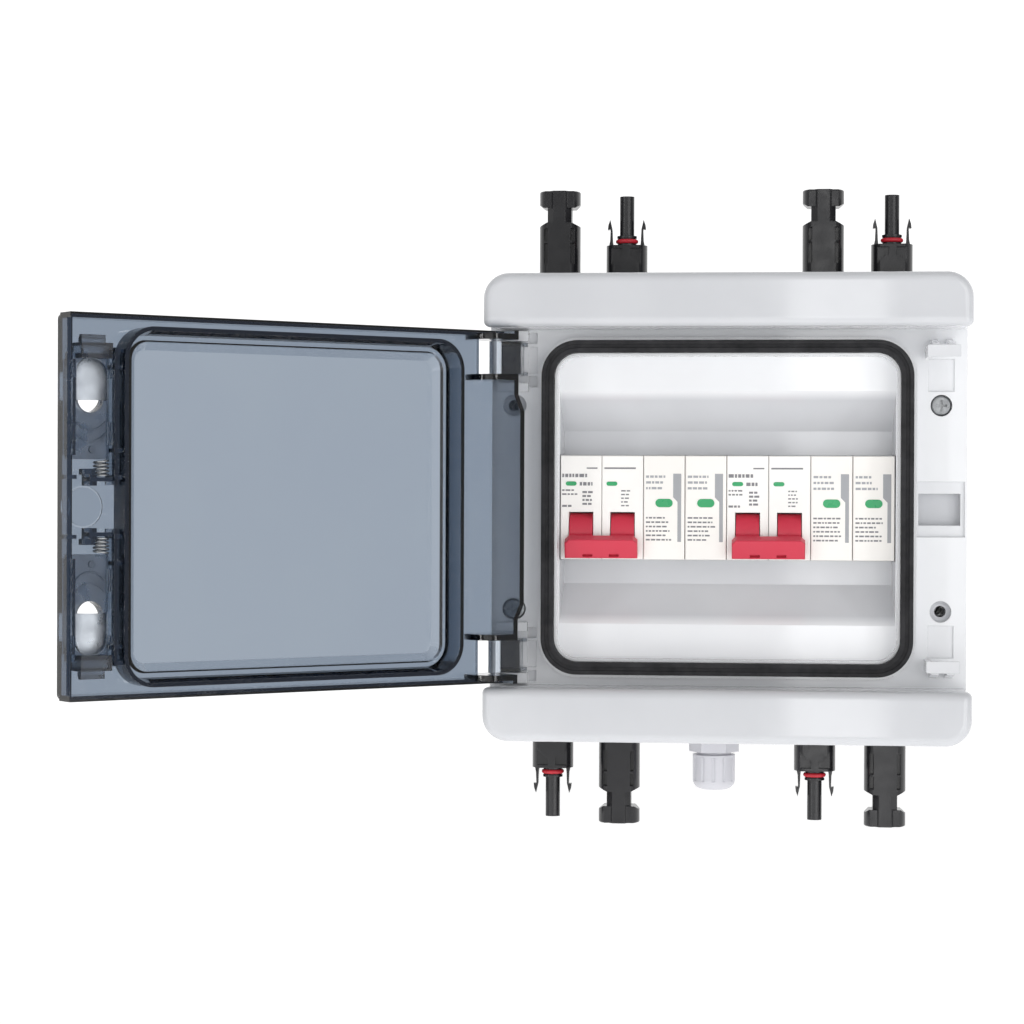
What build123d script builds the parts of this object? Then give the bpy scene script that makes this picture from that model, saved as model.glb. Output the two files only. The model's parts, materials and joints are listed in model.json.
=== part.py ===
from build123d import *
import os
from math import cos, radians, sin

# DC combiner box, millimetres.
# X to the right, Z up, the wall behind the box at Y = 0 and the front towards -Y.
# The origin is the centre of the back face. A "depth" is a distance in front of the wall, so Y = -depth.

# Enclosure
BOX_W = 207.0           # across the top and bottom shoulders
BOX_H = 200.0
CORNER_R = 11.0
WALL = 3.0
SHOULDER_DEPTH = 100.0
SHOULDER_INNER_Z = 77.0
SHOULDER_EDGE_R = 4.0
SHOULDER_CORNER_R = 2.5
FLANGE_W = 205.0        # between the shoulders
FLANGE_DEPTH = 75.0
PLATE_T = 2.5
SPLIT_DEPTH = 52.0      # where the rear shell and the front cover meet
RIM_T = 5.0
RIM_DEPTH = 6.0
SEAL_INSET = 1.6
SEAL_W = 2.4
SEAL_T = 2.0

# Window, trough and gasket
GASKET_OUT_W = 158.8
GASKET_OUT_H = 143.7
GASKET_OUT_R = 15.5
GASKET_W = 5.3
GASKET_DEPTH = 87.2
GASKET_RIM_W = 1.5
GASKET_RIM_DEPTH = 81.0
TROUGH_W = 144.6
TROUGH_FLAT_W = 142.8
TROUGH_H = 100.8
TROUGH_FLAT_H = 66.8
TROUGH_FLAT_DEPTH = 60.0
TROUGH_WALL = 1.8
SLOT_H = 45.6

# Cover screws, wall holes, wire bosses
SCREW_X = 91.5
SCREW_Z = 44.2
SCREW_HEAD_R = 4.3
SCREW_BORE_R = 4.6
SCREW_HOLE_R = 2.45
SCREW_SHANK_R = 1.95
SLEEVE_R = 6.2
SCREW_SEAT_DEPTH = 71.5
PILOT_R = 2.0
WALL_HOLE_X = 80.0
WALL_HOLE_Z = 80.0
WALL_HOLE_R = 2.5

# Door, described closed and then swung open about its hinge
DOOR_W = 205.6
DOOR_H = 150.5
DOOR_DEPTH = 100.0      # outer face of the border when closed
DOOR_T = 3.2
WINDOW_T = 2.5
PANEL_X = -1.5          # the window panel stands a step proud of the border
PANEL_W = 141.0
PANEL_H = 124.0
PANEL_R = 4.5
PANEL_STEP = 3.0
PANEL_SLOPE_W = 3.2
PANEL_SKIN = 1.4
SKIRT_T = 2.2
SKIRT_LEN = 12.0
FREE_WALL_LEN = 9.0
HINGE_WALL_LEN = 19.5
HINGE_WALL_DEEP = 24.0
RIB_W = 159.6
RIB_H = 141.6
RIB_R = 13.0
RIB_T = 1.7             # at its tip
RIB_BASE_T = 3.35
RIB_TIP_DEPTH = 87.5
HINGE_X = -98.8
HINGE_DEPTH = 92.0
OPEN_ANGLE = 139.5
PIN_R = 1.7
PIN_HOLE_R = 1.75
KNUCKLE_R = 3.2
NOTCH_LOW = 56.6
NOTCH_HIGH = 71.4
NOTCH_INNER_X = -93.5
CHEEK_T = 2.5
CHEEK_REACH = 13.2
HINGE_PADS = ((71.9, 76.4), (50.0, 53.9))       # lowest and highest Z of each seat

# Latches
LATCH_X = 91.8
LATCH_W = 15.6
LATCH_LOW_Z = 18.5
LATCH_HIGH_Z = 60.0
LATCH_BACK_DEPTH = 93.0
LATCH_T = 3.5
LATCH_CUP_R = 7.0
CUP_TOP_Z = 58.4
CUP_MOUTH_Z = 41.3
HOLE_END_Z = 36.6
TONGUE_TIP_Z = 66.6
TONGUE_BACK = 87.0
TONGUE_FRONT = 90.0
STAPLE_BACK = 90.5
STAPLE_FRONT = 93.5
STAPLE_LOW_Z = 64.4
STAPLE_HIGH_Z = 69.4
SPRING_X = 87.1
SPRING_LOW_Z = 11.5
SPRING_R = 2.8
SPRING_WIRE_R = 0.4
SPRING_TURNS = 4.5

# Rail and modules
RAIL_FRONT = 14.0
RAIL_H = 35.0
RAIL_D = 7.5
RAIL_T = 1.0
RAIL_LENGTH = 150.0
RAIL_SCREW_X = 58.0
EARTH_Z = -64.0
EARTH_BACK = 8.0
EARTH_FRONT = 15.0
EARTH_POSTS = (-28.0, 28.0)
EARTH_HOLES = (-18.0, -6.0, 6.0, 18.0)
MODULE_PITCH = 18.0
MODULE_W = 17.8
MODULE_H = 81.0
MODULE_BACK = 8.0
MODULE_SHOULDER = 58.0
NOSE_DEPTH = 75.0
NOSE_H = 45.0
TERMINAL_Z = 31.0
WIRE_DEPTH = 32.0
PIVOT_DEPTH = 67.0
PIVOT_Z = -11.0
HUB_R = 8.5
HUB_W = 10.1
HUB_GAP = 0.5
TOGGLE_TILT = 26.6
TIE_BAR_W = 31.4
TIE_BAR_H = 9.0
TIE_BAR_IN = 11.5
TIE_BAR_OUT = 16.0
CARTRIDGE_BACK = 30.0
BREAKER_LEFT_X = -4 * MODULE_PITCH      # the left side of each double-pole device
ARRESTER_LEFT_X = -2 * MODULE_PITCH
BREAKER_RIGHT_X = 0.0
ARRESTER_RIGHT_X = 2 * MODULE_PITCH

# Cable entries
ENTRY_DEPTH = 30.0
TOP_RECEPTACLES = (-75.9, 41.8)
TOP_PLUGS = (-45.8, 72.2)
BOTTOM_PLUGS = (-78.3, 39.0)
BOTTOM_RECEPTACLES = (-48.3, 70.1)
GLAND_X = -5.9
ENTRY_BODY_R = 9.2
ENTRY_FACE = 7.4        # half the front-to-back size of a connector body
THREAD_R = 6.0
ENTRY_HOLE_R = 6.15
GLAND_THREAD_R = 7.6
GLAND_HOLE_R = 7.75
GLAND_BORE_R = 4.0      # the seal grips the cable here
GLAND_BODY_BORE_R = 5.0
RECEPTACLE_TOP = 141.6
PLUG_TOP = 139.3
PLUG_TUBE_R = 3.25
CONTACT_PIN_R = 1.95
CONTACT_BORE_R = 2.0
CONTACT_SOCKET_R = 2.5
PLUG_BODY_TOP = 117.2
NUT_T = 4.0
TAIL_END = 82.0
MAIN_WIRE_R = 2.2
LINK_WIRE_R = 1.6

parts = {}


def keep(name, *solids):
    """Store one node, made of one or more separate solids."""
    parts[name] = solids[0] if len(solids) == 1 else Compound(children=list(solids))


def slab(width, height, radius, depth_from, depth_to):
    """A rounded rectangle in the X-Z plane, thick from one depth to another."""
    outline = Plane.XZ.offset(depth_from) * RectangleRounded(width, height, radius)
    return extrude(outline, depth_to - depth_from)


def ring(width, height, radius, thick, depth_from, depth_to):
    """A rectangular ring with rounded corners, lying in the X-Z plane."""
    outer = slab(width, height, radius, depth_from, depth_to)
    inner = slab(width - 2 * thick, height - 2 * thick, radius - thick, depth_from - 1, depth_to + 1)
    return outer - inner


def block(x_from, x_to, depth_from, depth_to, z_from, z_to):
    """A box between two corners."""
    middle = Pos((x_from + x_to) / 2, -(depth_from + depth_to) / 2, (z_from + z_to) / 2)
    return middle * Box(abs(x_to - x_from), abs(depth_to - depth_from), abs(z_to - z_from))


def rod(start, end, radius):
    """A round bar between two points."""
    start = Vector(*start)
    along = Vector(*end) - start
    return extrude(Plane(origin=start, z_dir=along) * Circle(radius), along.length)


def rod_in(x, z, depth_from, depth_to, radius):
    """A round bar along the depth."""
    return rod((x, -depth_from, z), (x, -depth_to, z), radius)


def rod_up(x, depth, z_from, z_to, radius):
    """An upright round bar."""
    return rod((x, -depth, z_from), (x, -depth, z_to), radius)


def rod_across(x_from, x_to, depth, z, radius):
    """A round bar along X."""
    return rod((x_from, -depth, z), (x_to, -depth, z), radius)


def prism_x(points, x_from, x_to):
    """A solid along X whose section is given as (depth, z) points."""
    plane = Plane(origin=(x_from, 0, 0), x_dir=(0, -1, 0), z_dir=(1, 0, 0))
    flat = plane * make_face(Polyline(*[(d, -z) for d, z in points], close=True))
    return extrude(flat, x_to - x_from)


def stay(shape):
    """The shape as it is, for the upper end of the box."""
    return shape


def flip(shape):
    """The same shape at the other end of the box, up for down."""
    return mirror(shape, about=Plane.XY)


def both_ends(shape):
    return shape + flip(shape)


def both_sides(shape):
    return shape + mirror(shape, about=Plane.YZ)


def swing(shape):
    """Move a piece of the closed door to where it stands open."""
    axis = Axis((HINGE_X, -HINGE_DEPTH, 0), (0, 0, 1))
    return shape.rotate(axis, -OPEN_ANGLE)


# ---------------------------------------------------------------- enclosure

def entry_holes():
    """The round holes in the top and bottom walls."""
    cuts = []
    for x in TOP_RECEPTACLES + TOP_PLUGS:
        cuts.append(rod_up(x, ENTRY_DEPTH, BOX_H / 2 - WALL - 4, BOX_H / 2 + 1, ENTRY_HOLE_R))
    for x in BOTTOM_RECEPTACLES + BOTTOM_PLUGS:
        cuts.append(rod_up(x, ENTRY_DEPTH, -BOX_H / 2 - 1, -BOX_H / 2 + WALL + 4, ENTRY_HOLE_R))
    cuts.append(rod_up(GLAND_X, ENTRY_DEPTH, -BOX_H / 2 - 1, -BOX_H / 2 + WALL + 4, GLAND_HOLE_R))
    return cuts


def make_rear_shell():
    shell = slab(BOX_W, BOX_H, CORNER_R, 0, SPLIT_DEPTH)
    back_edge = shell.faces().sort_by(Axis.Y)[-1].edges()
    shell = fillet(back_edge, 3.0)
    inner_w = BOX_W - 2 * WALL
    inner_h = BOX_H - 2 * WALL
    shell -= slab(inner_w, inner_h, CORNER_R - WALL, WALL, SPLIT_DEPTH - RIM_DEPTH)
    rim_w = BOX_W - 2 * RIM_T
    rim_h = BOX_H - 2 * RIM_T
    shell -= slab(rim_w, rim_h, CORNER_R - RIM_T, SPLIT_DEPTH - RIM_DEPTH - 1, SPLIT_DEPTH + 1)
    shell -= seal_ring()

    boss = rod_in(SCREW_X, SCREW_Z, WALL, SPLIT_DEPTH, 4.6)
    boss += block(SCREW_X, BOX_W / 2 - WALL, WALL, SPLIT_DEPTH - RIM_DEPTH, SCREW_Z - 1, SCREW_Z + 1)
    boss -= rod_in(SCREW_X, SCREW_Z, 26, SPLIT_DEPTH + 1, PILOT_R)
    shell += both_ends(both_sides(boss))

    pad = rod_in(WALL_HOLE_X, WALL_HOLE_Z, WALL - 0.5, WALL + 1.5, 6.5)
    shell += both_ends(both_sides(pad))
    hole = rod_in(WALL_HOLE_X, WALL_HOLE_Z, -1, WALL + 2, WALL_HOLE_R)
    shell -= both_ends(both_sides(hole))

    rail_back = RAIL_FRONT - RAIL_D
    post = block(RAIL_SCREW_X - 8, RAIL_SCREW_X + 8, WALL - 0.5, rail_back, -9, 9)
    post -= rod_in(RAIL_SCREW_X, 0, 1.5, rail_back + 1, 1.6)
    shell += both_sides(post)

    for x in EARTH_POSTS:
        shell += rod_in(x, EARTH_Z, WALL - 0.5, EARTH_BACK, 4.0) - rod_in(x, EARTH_Z, 2, EARTH_BACK + 1, 1.5)

    for cut in entry_holes():
        shell -= cut
    return shell


def seal_ring():
    """The soft cord in the groove between the two shells."""
    width = BOX_W - 2 * SEAL_INSET
    height = BOX_H - 2 * SEAL_INSET
    return ring(width, height, CORNER_R - SEAL_INSET, SEAL_W, SPLIT_DEPTH - SEAL_T, SPLIT_DEPTH)


def shoulder():
    """The raised bar above the flange, rounded all round its front."""
    low = SHOULDER_INNER_Z
    outline = RectangleRounded(BOX_W, BOX_H, CORNER_R) & Pos(0, BOX_H / 2 + low) * Rectangle(BOX_W + 2, BOX_H)
    inner_corners = [v for v in outline.vertices() if v.Y < low + 0.1]
    outline = fillet(inner_corners, SHOULDER_CORNER_R)
    bar = extrude(Plane.XZ.offset(SPLIT_DEPTH) * outline, SHOULDER_DEPTH - SPLIT_DEPTH)
    return fillet(bar.faces().sort_by(Axis.Y)[0].edges(), SHOULDER_EDGE_R)


def cover_body():
    """The outer skin: a flange between two raised shoulders."""
    half = FLANGE_W / 2
    low = SHOULDER_INNER_Z + SHOULDER_CORNER_R
    return both_ends(shoulder()) + block(-half, half, SPLIT_DEPTH, FLANGE_DEPTH, -low, low)


def cover_hollow():
    """The space behind the flange and inside the shoulders."""
    side = FLANGE_W / 2 - PLATE_T
    end = BOX_H / 2 - WALL
    low = SHOULDER_INNER_Z + PLATE_T
    middle = slab(2 * side, 2 * end, CORNER_R - WALL, SPLIT_DEPTH - 1, FLANGE_DEPTH - PLATE_T)
    deep = slab(2 * side, 2 * end, CORNER_R - WALL, SPLIT_DEPTH - 1, SHOULDER_DEPTH - PLATE_T)
    deep -= block(-BOX_W, BOX_W, 0, SHOULDER_DEPTH + 1, -low, low)
    return middle + deep


def trough(width, height, flat_width, flat_height, depth_from, depth_to):
    """The dished well round the modules, tapering towards its flat floor."""
    floor = Plane.XZ.offset(depth_from) * Rectangle(flat_width, flat_height)
    mouth = Plane.XZ.offset(depth_to) * Rectangle(width, height)
    return loft([floor, mouth])


def staple():
    """The bar that the latch tongue hooks behind, on a side wall and two gussets."""
    bar_back = STAPLE_BACK
    bar_front = STAPLE_FRONT
    shape = block(84.6, 87, FLANGE_DEPTH - 1, bar_front, STAPLE_LOW_Z, STAPLE_HIGH_Z)
    shape += block(86.5, 98.5, bar_back, bar_front, STAPLE_LOW_Z, STAPLE_HIGH_Z)
    for x in (86.6, 93.2):
        section = [
            (FLANGE_DEPTH - 1, STAPLE_HIGH_Z - 0.8),
            (bar_front - 0.5, STAPLE_HIGH_Z - 0.8),
            (bar_front - 0.5, STAPLE_HIGH_Z + 0.6),
            (FLANGE_DEPTH - 1, STAPLE_HIGH_Z + 3.2),
        ]
        shape += prism_x(section, x, x + 3.2)
    return shape


def make_front_cover():
    cover = cover_body() - cover_hollow()
    wall = 2 * TROUGH_WALL
    cover += trough(
        TROUGH_W + wall, TROUGH_H + wall, TROUGH_FLAT_W + wall, TROUGH_FLAT_H + wall,
        TROUGH_FLAT_DEPTH - TROUGH_WALL, FLANGE_DEPTH - 0.5,
    )
    rim_w = GASKET_OUT_W + 2 * GASKET_RIM_W
    rim_h = GASKET_OUT_H + 2 * GASKET_RIM_W
    outer_r = GASKET_OUT_R + GASKET_RIM_W
    cover += ring(rim_w, rim_h, outer_r, GASKET_RIM_W, FLANGE_DEPTH - 0.5, GASKET_RIM_DEPTH)
    lip_w = GASKET_OUT_W - 2 * GASKET_W
    lip_h = GASKET_OUT_H - 2 * GASKET_W
    cover += ring(lip_w, lip_h, GASKET_OUT_R - GASKET_W, 1.2, FLANGE_DEPTH - 0.5, GASKET_RIM_DEPTH)

    sleeve = rod_in(SCREW_X, SCREW_Z, SPLIT_DEPTH, FLANGE_DEPTH - 1, SLEEVE_R)
    cover += both_ends(both_sides(sleeve))
    bore = rod_in(SCREW_X, SCREW_Z, SCREW_SEAT_DEPTH, FLANGE_DEPTH + 1, SCREW_BORE_R)
    bore += rod_in(SCREW_X, SCREW_Z, SPLIT_DEPTH - 1, SCREW_SEAT_DEPTH, SCREW_HOLE_R)
    cover -= both_ends(both_sides(bore))

    cover -= trough(
        TROUGH_W, TROUGH_H, TROUGH_FLAT_W, TROUGH_FLAT_H, TROUGH_FLAT_DEPTH, FLANGE_DEPTH,
    )
    cover -= block(-TROUGH_W / 2, TROUGH_W / 2, 55, FLANGE_DEPTH + 1, -SLOT_H / 2, SLOT_H / 2)

    cover += both_ends(staple())
    cover -= both_ends(block(86, 97, FLANGE_DEPTH - 0.8, FLANGE_DEPTH + 1, 50.2, 64))
    cover += block(80, 101, 66.5, FLANGE_DEPTH - PLATE_T + 0.5, -10, 9)
    cover -= block(81.2, 101.6, FLANGE_DEPTH - 1.4, FLANGE_DEPTH + 1, -12.2, 11.6)
    cover -= block(82, 99.8, 69, FLANGE_DEPTH + 1, -7.2, 6.4)

    for low, high in HINGE_PADS:
        cover += both_ends(block(-98.5, -86, FLANGE_DEPTH - 0.5, FLANGE_DEPTH + 3, low, high))
    for low, high in ((70.9, 75.6), (52.2, 56.9)):
        cover -= both_ends(block(-86, -82.2, FLANGE_DEPTH - 1.6, FLANGE_DEPTH + 4, low, high))
    cover -= both_ends(block(-86, -82.2, FLANGE_DEPTH - 0.6, FLANGE_DEPTH + 1, 58, 69.5))
    cover -= both_ends(block(-97.8, -88.5, FLANGE_DEPTH - 1.5, FLANGE_DEPTH + 1, 57.5, 70.5))
    return cover


def make_window_gasket():
    gasket = ring(GASKET_OUT_W, GASKET_OUT_H, GASKET_OUT_R, GASKET_W, FLANGE_DEPTH, GASKET_DEPTH)
    inset = 1.7
    groove_w = GASKET_OUT_W - 2 * inset
    groove_h = GASKET_OUT_H - 2 * inset
    return gasket - ring(groove_w, groove_h, GASKET_OUT_R - inset, 1.7, GASKET_DEPTH - 0.8, GASKET_DEPTH + 1)


def cross_head_screw(x, z, seat, head_r, head_t, shank_r, length):
    """A pan-head screw with a cross recess, driven in from the front."""
    top = seat + head_t
    screw = rod_in(x, z, seat, top, head_r)
    rim = screw.faces().sort_by(Axis.Y)[0].edges()
    screw = fillet(rim, head_t * 0.4)
    screw += rod_in(x, z, seat - length, seat, shank_r)
    arm = head_r * 0.55
    half = head_r * 0.12
    screw -= block(x - arm, x + arm, top - head_t * 0.6, top + 1, z - half, z + half)
    screw -= block(x - half, x + half, top - head_t * 0.6, top + 1, z - arm, z + arm)
    return screw


def make_cover_screws():
    screws = []
    for x, z in ((SCREW_X, SCREW_Z), (-SCREW_X, -SCREW_Z)):
        screws.append(cross_head_screw(x, z, SCREW_SEAT_DEPTH, SCREW_HEAD_R, 2.4, SCREW_SHANK_R, 40))
    return screws


# ---------------------------------------------------------------- rail and earth bar

def make_din_rail():
    half = RAIL_LENGTH / 2
    back = RAIL_FRONT - RAIL_D
    base = RAIL_H / 2 - 4.0
    rail = block(-half, half, back, back + RAIL_T, -base, base)
    rail += both_ends(block(-half, half, back, RAIL_FRONT, base - RAIL_T, base))
    rail += both_ends(block(-half, half, RAIL_FRONT - RAIL_T, RAIL_FRONT, base - RAIL_T, RAIL_H / 2))
    for x in (-RAIL_SCREW_X, RAIL_SCREW_X):
        rail -= rod_in(x, 0, back - 1, back + RAIL_T + 1, 2.1)
    for x in (-36, -18, 0, 18, 36):
        slot = Plane.XZ.offset(back - 1) * Pos(x, 0) * SlotOverall(12, 5)
        rail -= extrude(slot, RAIL_T + 2)
    return rail


def make_rail_screws():
    seat = RAIL_FRONT - RAIL_D + RAIL_T
    return [cross_head_screw(x, 0, seat, 3.4, 2.0, 1.55, 4.3) for x in (-RAIL_SCREW_X, RAIL_SCREW_X)]


def make_earth_bar():
    bar = block(-32, 32, EARTH_BACK, EARTH_FRONT, EARTH_Z - 4, EARTH_Z + 4)
    middle = (EARTH_BACK + EARTH_FRONT) / 2
    for x in EARTH_HOLES:
        bar -= rod_up(x, middle, EARTH_Z - 5, EARTH_Z + 5, 2.0)
        bar -= rod_in(x, EARTH_Z, middle, EARTH_FRONT + 1, 1.5)
    for x in EARTH_POSTS:
        bar -= rod_in(x, EARTH_Z, EARTH_BACK - 1, EARTH_FRONT + 1, 1.9)
    return bar


def make_earth_screws():
    screws = []
    for x in EARTH_HOLES:
        screw = rod_in(x, EARTH_Z, EARTH_FRONT - 1.2, EARTH_FRONT + 1.2, 1.45)
        screw += rod_in(x, EARTH_Z, EARTH_FRONT, EARTH_FRONT + 2.2, 2.6)
        screw -= block(x - 3, x + 3, EARTH_FRONT + 1.2, EARTH_FRONT + 3, EARTH_Z - 0.4, EARTH_Z + 0.4)
        screws.append(screw)
    for x in EARTH_POSTS:
        screws.append(cross_head_screw(x, EARTH_Z, EARTH_FRONT, 3.2, 2.0, 1.4, 12))
    return screws


# ---------------------------------------------------------------- hinge

def make_hinge_clip():
    """A snap-in block that carries the hinge pin between the door's cheeks."""
    low = NOTCH_LOW + 0.4
    high = NOTCH_HIGH - 0.4
    clip = block(-98.4, -88, FLANGE_DEPTH, 91, low, high)
    clip += block(-97.6, -88.7, FLANGE_DEPTH - 1.4, FLANGE_DEPTH + 1, low + 0.9, high - 0.9)
    clip -= block(-96.6, -90.6, 89.8, 92, low + 2, high - 2)
    clip += rod_in(-92.8, (low + high) / 2, 89, 90.8, 2.1) - rod_in(-92.8, (low + high) / 2, 89.9, 92, 1.2)
    clip += rod_up(HINGE_X, HINGE_DEPTH, low, high, 2.7)
    for z in (low + 0.7, high - 0.7):
        clip += block(-88.5, -86.3, FLANGE_DEPTH + 0.2, FLANGE_DEPTH + 2.4, z - 0.7, z + 0.7)
    clip += rod_up(HINGE_X, HINGE_DEPTH, NOTCH_LOW - CHEEK_T, NOTCH_HIGH + CHEEK_T, PIN_R)
    return clip


# ---------------------------------------------------------------- door

def panel_outline(depth, grow):
    """The outline of the raised window panel at one depth, grown on every side."""
    outline = RectangleRounded(PANEL_W + 2 * grow, PANEL_H + 2 * grow, PANEL_R + 0.85 * grow)
    return Plane.XZ.offset(depth) * Pos(PANEL_X, 0) * outline


def door_rib():
    """The sealing rib that presses on the window gasket, wider at its root."""
    inner = DOOR_DEPTH - DOOR_T
    rib = slab(RIB_W, RIB_H, RIB_R, RIB_TIP_DEPTH, inner + 0.5)
    sections = []
    for depth, thick in ((inner + 0.6, RIB_BASE_T), (RIB_TIP_DEPTH - 0.1, RIB_T)):
        opening = RectangleRounded(RIB_W - 2 * thick, RIB_H - 2 * thick, RIB_R - thick)
        sections.append(Plane.XZ.offset(depth) * opening)
    return rib - loft(sections)


def door_plate():
    plate = slab(DOOR_W, DOOR_H, 2.5, DOOR_DEPTH - DOOR_T, DOOR_DEPTH)
    outer_edge = plate.faces().sort_by(Axis.Y)[0].edges()
    plate = fillet(outer_edge, 0.8)
    slope = PANEL_SLOPE_W / (PANEL_STEP - WINDOW_T + DOOR_T)
    root = PANEL_SKIN + slope * (PANEL_STEP + 2)
    plate += loft([panel_outline(DOOR_DEPTH - 2, root), panel_outline(DOOR_DEPTH + PANEL_STEP, PANEL_SKIN)])
    inside = DOOR_DEPTH + PANEL_STEP - WINDOW_T
    return plate - loft([panel_outline(DOOR_DEPTH - DOOR_T, PANEL_SLOPE_W), panel_outline(inside, 0)])


def door_walls():
    """The skirts along the four sides of the door."""
    half_w = DOOR_W / 2
    half_h = DOOR_H / 2
    inner = DOOR_DEPTH - DOOR_T + 0.5
    walls = both_ends(
        block(-half_w, half_w, DOOR_DEPTH - SKIRT_LEN, inner, half_h - SKIRT_T, half_h)
    )
    walls += block(half_w - SKIRT_T, half_w, DOOR_DEPTH - FREE_WALL_LEN, inner, -half_h, half_h)
    shallow = DOOR_DEPTH - HINGE_WALL_LEN
    deep = DOOR_DEPTH - HINGE_WALL_DEEP
    section = [
        (inner, half_h), (shallow, half_h), (shallow, 48), (deep, 41),
        (deep, -41), (shallow, -48), (shallow, -half_h), (inner, -half_h),
    ]
    hinge_wall = prism_x(section, -half_w, -half_w + SKIRT_T)
    return walls + hinge_wall


def cheek(z_from, z_to):
    """A flat lug beside the hinge notch, holed for the pin."""
    height = z_to - z_from
    middle = (z_from + z_to) / 2
    plate = block(-DOOR_W / 2, -85, DOOR_DEPTH - HINGE_WALL_LEN, DOOR_DEPTH - DOOR_T + 0.5, z_from, z_to)
    reach = Pos(HINGE_X, -HINGE_DEPTH, middle) * Cylinder(CHEEK_REACH, height)
    knuckle = Pos(HINGE_X, -HINGE_DEPTH, middle) * Cylinder(KNUCKLE_R, height)
    return (plate & reach) + knuckle


def latch_bay():
    """Guides, lips, spring post and cross ribs for one latch, beside the free edge."""
    inner = DOOR_DEPTH - DOOR_T + 0.5
    left = LATCH_X - LATCH_W / 2 - 0.3
    right = LATCH_X + LATCH_W / 2 + 0.3
    bay = block(left - 1.4, left, 88.5, inner, 8.5, 62)
    bay += block(right, right + 1.2, 89.5, inner, 20, 57)
    lip_back = LATCH_BACK_DEPTH - 1.8
    lip_front = LATCH_BACK_DEPTH - 0.3
    for low, high in ((24, 33), (50, 56)):
        bay += block(left - 0.4, left + 1.2, lip_back, lip_front, low, high)
        bay += block(right - 1.0, right + 0.6, lip_back, lip_front, low, high)
    for z in (61, 54.5, 22, 11.5):
        bay += block(RIB_W / 2 - 0.8, left - 1, 89.5, inner, z - 0.75, z + 0.75)
    bay += block(left - 0.4, SPRING_X + 3.6, 90, inner, SPRING_LOW_Z - 1.6, SPRING_LOW_Z)
    bay += block(SPRING_X + 3.4, SPRING_X + 6.6, 90, inner, 8.2, 12.6)
    bay += block(SPRING_X + 3.6, SPRING_X + 7.8, 91, inner, 12.4, 14.8)
    bay += block(right - 1.5, DOOR_W / 2 - 1, 91.5, inner, 10.8, 12.4)
    return bay


def finger_slot(width, depth_from, depth_to):
    """A round-ended opening that a finger reaches through."""
    low = HOLE_END_Z
    high = CUP_TOP_Z - 1
    outline = Rot(0, 0, 90) * SlotOverall(high - low, width)
    return extrude(Plane.XZ.offset(depth_from) * Pos(LATCH_X, (low + high) / 2) * outline, depth_to - depth_from)


def make_door():
    door = door_plate()
    door += door_walls()
    door -= both_ends(
        block(-DOOR_W / 2 - 1, NOTCH_INNER_X, DOOR_DEPTH - 30, DOOR_DEPTH + 1, NOTCH_LOW, NOTCH_HIGH)
    )
    for low, high in ((NOTCH_HIGH, NOTCH_HIGH + CHEEK_T), (NOTCH_LOW - CHEEK_T, NOTCH_LOW)):
        door += both_ends(cheek(low, high))
    pin_hole = rod_up(HINGE_X, HINGE_DEPTH, NOTCH_LOW - CHEEK_T - 1, NOTCH_HIGH + CHEEK_T + 1, PIN_HOLE_R)
    door -= both_ends(pin_hole)
    door += door_rib()
    door += both_ends(latch_bay())
    door -= both_ends(finger_slot(14.2, DOOR_DEPTH - DOOR_T - 1, DOOR_DEPTH + 1))
    inner = DOOR_DEPTH - DOOR_T
    knockout = rod_in(93, 0, inner - 0.5, inner + 0.6, 8.3) - rod_in(93, 0, inner - 1, inner + 1, 7.5)
    door -= knockout
    return door


def make_latch():
    """The sliding catch: a plate, a finger cup and a hooked tongue."""
    back = LATCH_BACK_DEPTH
    front = back + LATCH_T
    half = LATCH_W / 2
    latch = block(LATCH_X - half, LATCH_X + half, back, front, LATCH_LOW_Z, LATCH_HIGH_Z)
    axis_depth = back + 1.5
    dome_z = CUP_TOP_Z - LATCH_CUP_R
    dome = rod_up(LATCH_X, axis_depth, CUP_MOUTH_Z, dome_z, LATCH_CUP_R)
    dome += Pos(LATCH_X, -axis_depth, dome_z) * Sphere(LATCH_CUP_R)
    dome -= block(0, BOX_W, front, front + 10, 0, 100)
    latch += dome - block(0, BOX_W, 0, 200, 0, CUP_MOUTH_Z)
    latch += block(LATCH_X - 6.6, LATCH_X + 6.6, TONGUE_BACK, front, 57.5, 63.6)
    tongue = [(TONGUE_BACK, 63.5), (TONGUE_FRONT, 63.5), (TONGUE_FRONT, TONGUE_TIP_Z - 1.6)]
    tongue += [(TONGUE_FRONT - 1, TONGUE_TIP_Z), (TONGUE_BACK, TONGUE_TIP_Z)]
    latch += prism_x(tongue, LATCH_X - 3.4, LATCH_X + 6.8)
    latch -= block(LATCH_X - 5.4, LATCH_X + 5.4, TONGUE_BACK + 2, front - 1.2, 59.4, 62.4)

    inside = LATCH_CUP_R - 1.4
    hollow = rod_up(LATCH_X, axis_depth, CUP_MOUTH_Z - 1, dome_z, inside)
    hollow += Pos(LATCH_X, -axis_depth, dome_z) * Sphere(inside)
    latch -= hollow
    latch -= finger_slot(2 * inside, back + 1, front + 1) + finger_slot(2 * inside, back - 1, front) - block(
        0, BOX_W, 0, back + 0.01, CUP_MOUTH_Z, 100)
    for z, radius in ((31.5, 8.0), (27.0, 8.0)):
        arc = rod_in(LATCH_X, z + 6, back - 0.6, back + 0.5, radius)
        arc -= rod_in(LATCH_X, z + 6, back - 1, back + 0.5, radius - 0.8)
        arc &= block(LATCH_X - 6.5, LATCH_X + 6.5, back - 1, back + 1, z - 3, z + 1.8)
        latch += arc
    latch += rod_in(LATCH_X - 0.5, 22.3, back - 0.6, back + 0.5, 1.4)
    return latch


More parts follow.
